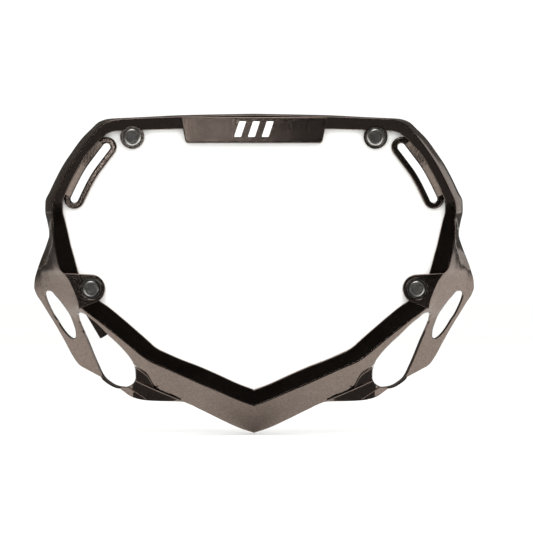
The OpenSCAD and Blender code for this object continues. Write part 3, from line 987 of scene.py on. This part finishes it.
def nut_profile(sizes, seat, end):
    """Lock nut with chamfered corners, a rounded collar and the recess for its ring."""
    slope = math.tan(math.radians(30))
    hexagonal = hexagon(sizes.nut)
    face = sizes.nut / 2 * 0.97
    bore = sizes.shank / 2 + THREAD_GAP
    ring = bore + sizes.ring_wall
    collar, e = ring + 0.8 * MM, 0.4 * MM
    shoulder, floor = seat - sizes.nut_hexagon, end + sizes.ring
    return [
        (bore, seat - 0.5 * MM), (bore + 0.4 * MM, seat), (face, seat),
        (hexagonal, lambda a: seat - (hexagonal(a) - face) * slope),
        (hexagonal, lambda a: shoulder + (hexagonal(a) - face) * slope),
        (face, shoulder), (collar + 0.3 * MM, shoulder), (collar, shoulder - 0.3 * MM),
        *arc(collar - e, end + e, e, 0, -90),
        (ring, end), (ring, floor), (bore, floor),
    ]


def ring_profile(sizes, end):
    """Nylon ring with both of its outer edges rounded."""
    bore = sizes.shank / 2 + THREAD_GAP
    ring, e = bore + sizes.ring_wall, 0.2 * MM
    shape = arc(ring - e, end + e, e, 0, -90) + arc(bore + e, end + e, e, -90, -180)
    return shape + [(bore, end + sizes.ring), (ring, end + sizes.ring)]


class PLATE_OT_nuts(bpy.types.Operator):
    """Build the lock nuts and their nylon rings"""

    bl_idname = "plate.nuts"
    bl_label = "Lock nuts"

    def execute(self, context):
        sizes = context.scene.plate_fasteners
        steel = material_once("Zinc plated steel", zinc_plated_steel, sizes)
        nylon = dyed_nylon(sizes)
        for corner in CORNERS:
            low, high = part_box("lock_nut_" + corner)
            seat, end = DATUM_Y - low.y, DATUM_Y - high.y
            middle = screw_middle(corner)
            name = "lock_nut_" + corner + "_forged"
            piece = turned(name, middle, nut_profile(sizes, seat, end), 96, True)
            smoothed(piece, 28)
            dress(piece, steel, "plate", "lock_nut_" + corner)
            name = "lock_ring_" + corner + "_pressed"
            plug = turned(name, middle, ring_profile(sizes, end), 64, True)
            smoothed(plug, 50)
            dress(plug, nylon, "plate", "lock_ring_" + corner)
        return {"FINISHED"}


class PLATE_OT_studio(bpy.types.Operator):
    """Set up the floor, lights and camera"""

    bl_idname = "plate.studio"
    bl_label = "Studio"

    def execute(self, context):
        sizes = context.scene.plate_studio
        scene = context.scene
        scene.view_settings.view_transform = "Standard"
        ground = CAD_BOX[0].z - 0.2 * MM

        def sheet_of(name, corners, material):
            data = bpy.data.meshes.new(name)
            data.from_pydata(corners, [], [range(len(corners))])
            made = bpy.data.objects.new(name, data)
            made.data.materials.append(material)
            scene.collection.objects.link(made)
            return made

        far = 8.0
        square = ((-far, -far), (far, -far), (far, far), (-far, far))
        paint = matt_paint("Matt white paint", sizes.floor, 0.9)
        sheet_of("floor", [(x, y, ground) for x, y in square], paint)
        # What the plating mirrors: a black card in front, a slate one on the floor that widens
        # towards it, paper with a painted pool of light that darkens away from the plate (painted
        # shade for the floor's light falling off), and a tent round it all
        card = matt_paint("Black card", linear("202020"))
        slate = matt_paint("Slate card", linear("484848"))
        cloth = matt_paint("Grey tent cloth", linear("5A5754"))
        width, narrow, near, away, high = 1.9, 0.085, 0.03, 2.6, 2.2
        upright = [(x, -away, z) for x, z in (
            (-width, ground), (width, ground), (width, high), (-width, high)
        )]
        flat = [(x, y, ground + MM) for x, y in (
            (-width, -away), (width, -away), (narrow, -near), (-narrow, -near)
        )]
        room = 3.2
        around = [2 * math.pi * k / 48 for k in range(48)]
        apron = [(room * math.cos(a), room * math.sin(a), ground + 0.5 * MM) for a in around]
        # Painted light: the apron's paper is painted white round the plate and darker away from it,
        # and is seen only in the plating
        paper = painted_pool_paper(
            "Paper with painted light pool", linear("F5F5F3"), low=1.0, high=0.12,
            middle=(0.18, 0.1, ground), near=0.25, away=1.0,
        )
        shades = [
            sheet_of("card_upright", upright, card),
            sheet_of("card_flat", flat, slate),
            sheet_of("apron", apron, paper),
        ]
        rings = []
        for lift in [math.radians(x) for x in (0.5, 15, 30, 45, 60, 75, 88)]:
            r, z = room * math.cos(lift), ground + room * math.sin(lift)
            rings.append([(r * math.cos(a), r * math.sin(a), z) for a in around])
        tent = skin("tent", rings, ends=False)
        tent.data.materials.append(cloth)
        # They are seen in the plating alone
        for made in (*shades, tent):
            made.visible_camera = False
            made.visible_diffuse = False
            made.visible_shadow = False
            made.visible_transmission = False
        world = bpy.data.worlds.new("Studio walls")
        world.use_nodes = True
        world.node_tree.nodes.clear()
        sky = add(
            world.node_tree, "ShaderNodeBackground",
            {"Color": opaque(linear("FFFFFF")), "Strength": sizes.sky},
        )
        add(world.node_tree, "ShaderNodeOutputWorld", {"Surface": sky.outputs["Background"]})
        scene.world = world
        for name, place, size, radiance, mirrored in (
            ("softbox_right", (1.6, 0.9, 0.4), 1.3, 0.75, True),
            ("softbox_top", (-0.3, -1.1, 2.1), 1.3, 3.0, True),
            ("gleam", (-0.14, -2.4, 0.17), 0.09, 9.0, True),
            ("front_fill", (0.2, -3.0, 0.6), 2.4, 3.6, False),
        ):
            lamp = bpy.data.lights.new(name, "AREA")
            lamp.shape = "SQUARE"
            lamp.size = size
            lamp.energy = radiance * math.pi * size * size
            made = bpy.data.objects.new(name, lamp)
            made.location = place
            made.rotation_euler = (-Vector(place)).to_track_quat("-Z", "Y").to_euler()
            made.visible_glossy = mirrored
            scene.collection.objects.link(made)
        eye = bpy.data.cameras.new("camera")
        eye.sensor_width = 36
        eye.lens = eye.sensor_width * sizes.distance / sizes.field
        eye.clip_end = 50
        camera = bpy.data.objects.new("camera", eye)
        # Square on to a point a little right of the plate's middle and above it
        aim_x, aim_z = 7.3 * MM, 4.2 * MM
        camera.location = (aim_x, -sizes.distance, aim_z)
        camera.rotation_euler = (math.radians(90), 0, 0)
        scene.collection.objects.link(camera)
        scene.camera = camera
        return {"FINISHED"}


class PLATE_PT_panel(bpy.types.Panel):
    """Sizes, colours and steps of the number plate"""

    bl_idname = "PLATE_PT_panel"
    bl_label = "Number plate"
    bl_space_type = "VIEW_3D"
    bl_region_type = "UI"
    bl_category = "Number plate"

    def draw(self, context):
        for group, operators in GROUPS:
            box = self.layout.box()
            settings = getattr(context.scene, group)
            for name in settings.bl_rna.properties.keys():
                if name not in ("rna_type", "name"):
                    box.prop(settings, name)
            for operator in operators:
                box.operator(operator.bl_idname)


GROUPS = (
    ("plate_surround", (PLATE_OT_surround,)),
    ("plate_sheet", (PLATE_OT_sheet,)),
    ("plate_marks", (PLATE_OT_marks,)),
    ("plate_fasteners", (PLATE_OT_screws, PLATE_OT_washers, PLATE_OT_nuts)),
    ("plate_studio", (PLATE_OT_studio,)),
)
SETTINGS = {
    "plate_surround": SurroundSizes,
    "plate_sheet": SheetSizes,
    "plate_marks": MarkSizes,
    "plate_fasteners": FastenerSizes,
    "plate_studio": StudioSizes,
}
CLASSES = (*SETTINGS.values(), *(o for _, operators in GROUPS for o in operators), PLATE_PT_panel)


def register():
    for item in CLASSES:
        bpy.utils.register_class(item)
    for name, group in SETTINGS.items():
        setattr(bpy.types.Scene, name, PointerProperty(type=group))


def unregister():
    for name in SETTINGS:
        delattr(bpy.types.Scene, name)
    for item in reversed(CLASSES):
        bpy.utils.unregister_class(item)


def main():
    register()
    bpy.ops.plate.surround()
    bpy.ops.plate.sheet()
    bpy.ops.plate.marks()
    bpy.ops.plate.screws()
    bpy.ops.plate.washers()
    bpy.ops.plate.nuts()
    bpy.ops.plate.studio()


if __name__ == "__main__":
    main()
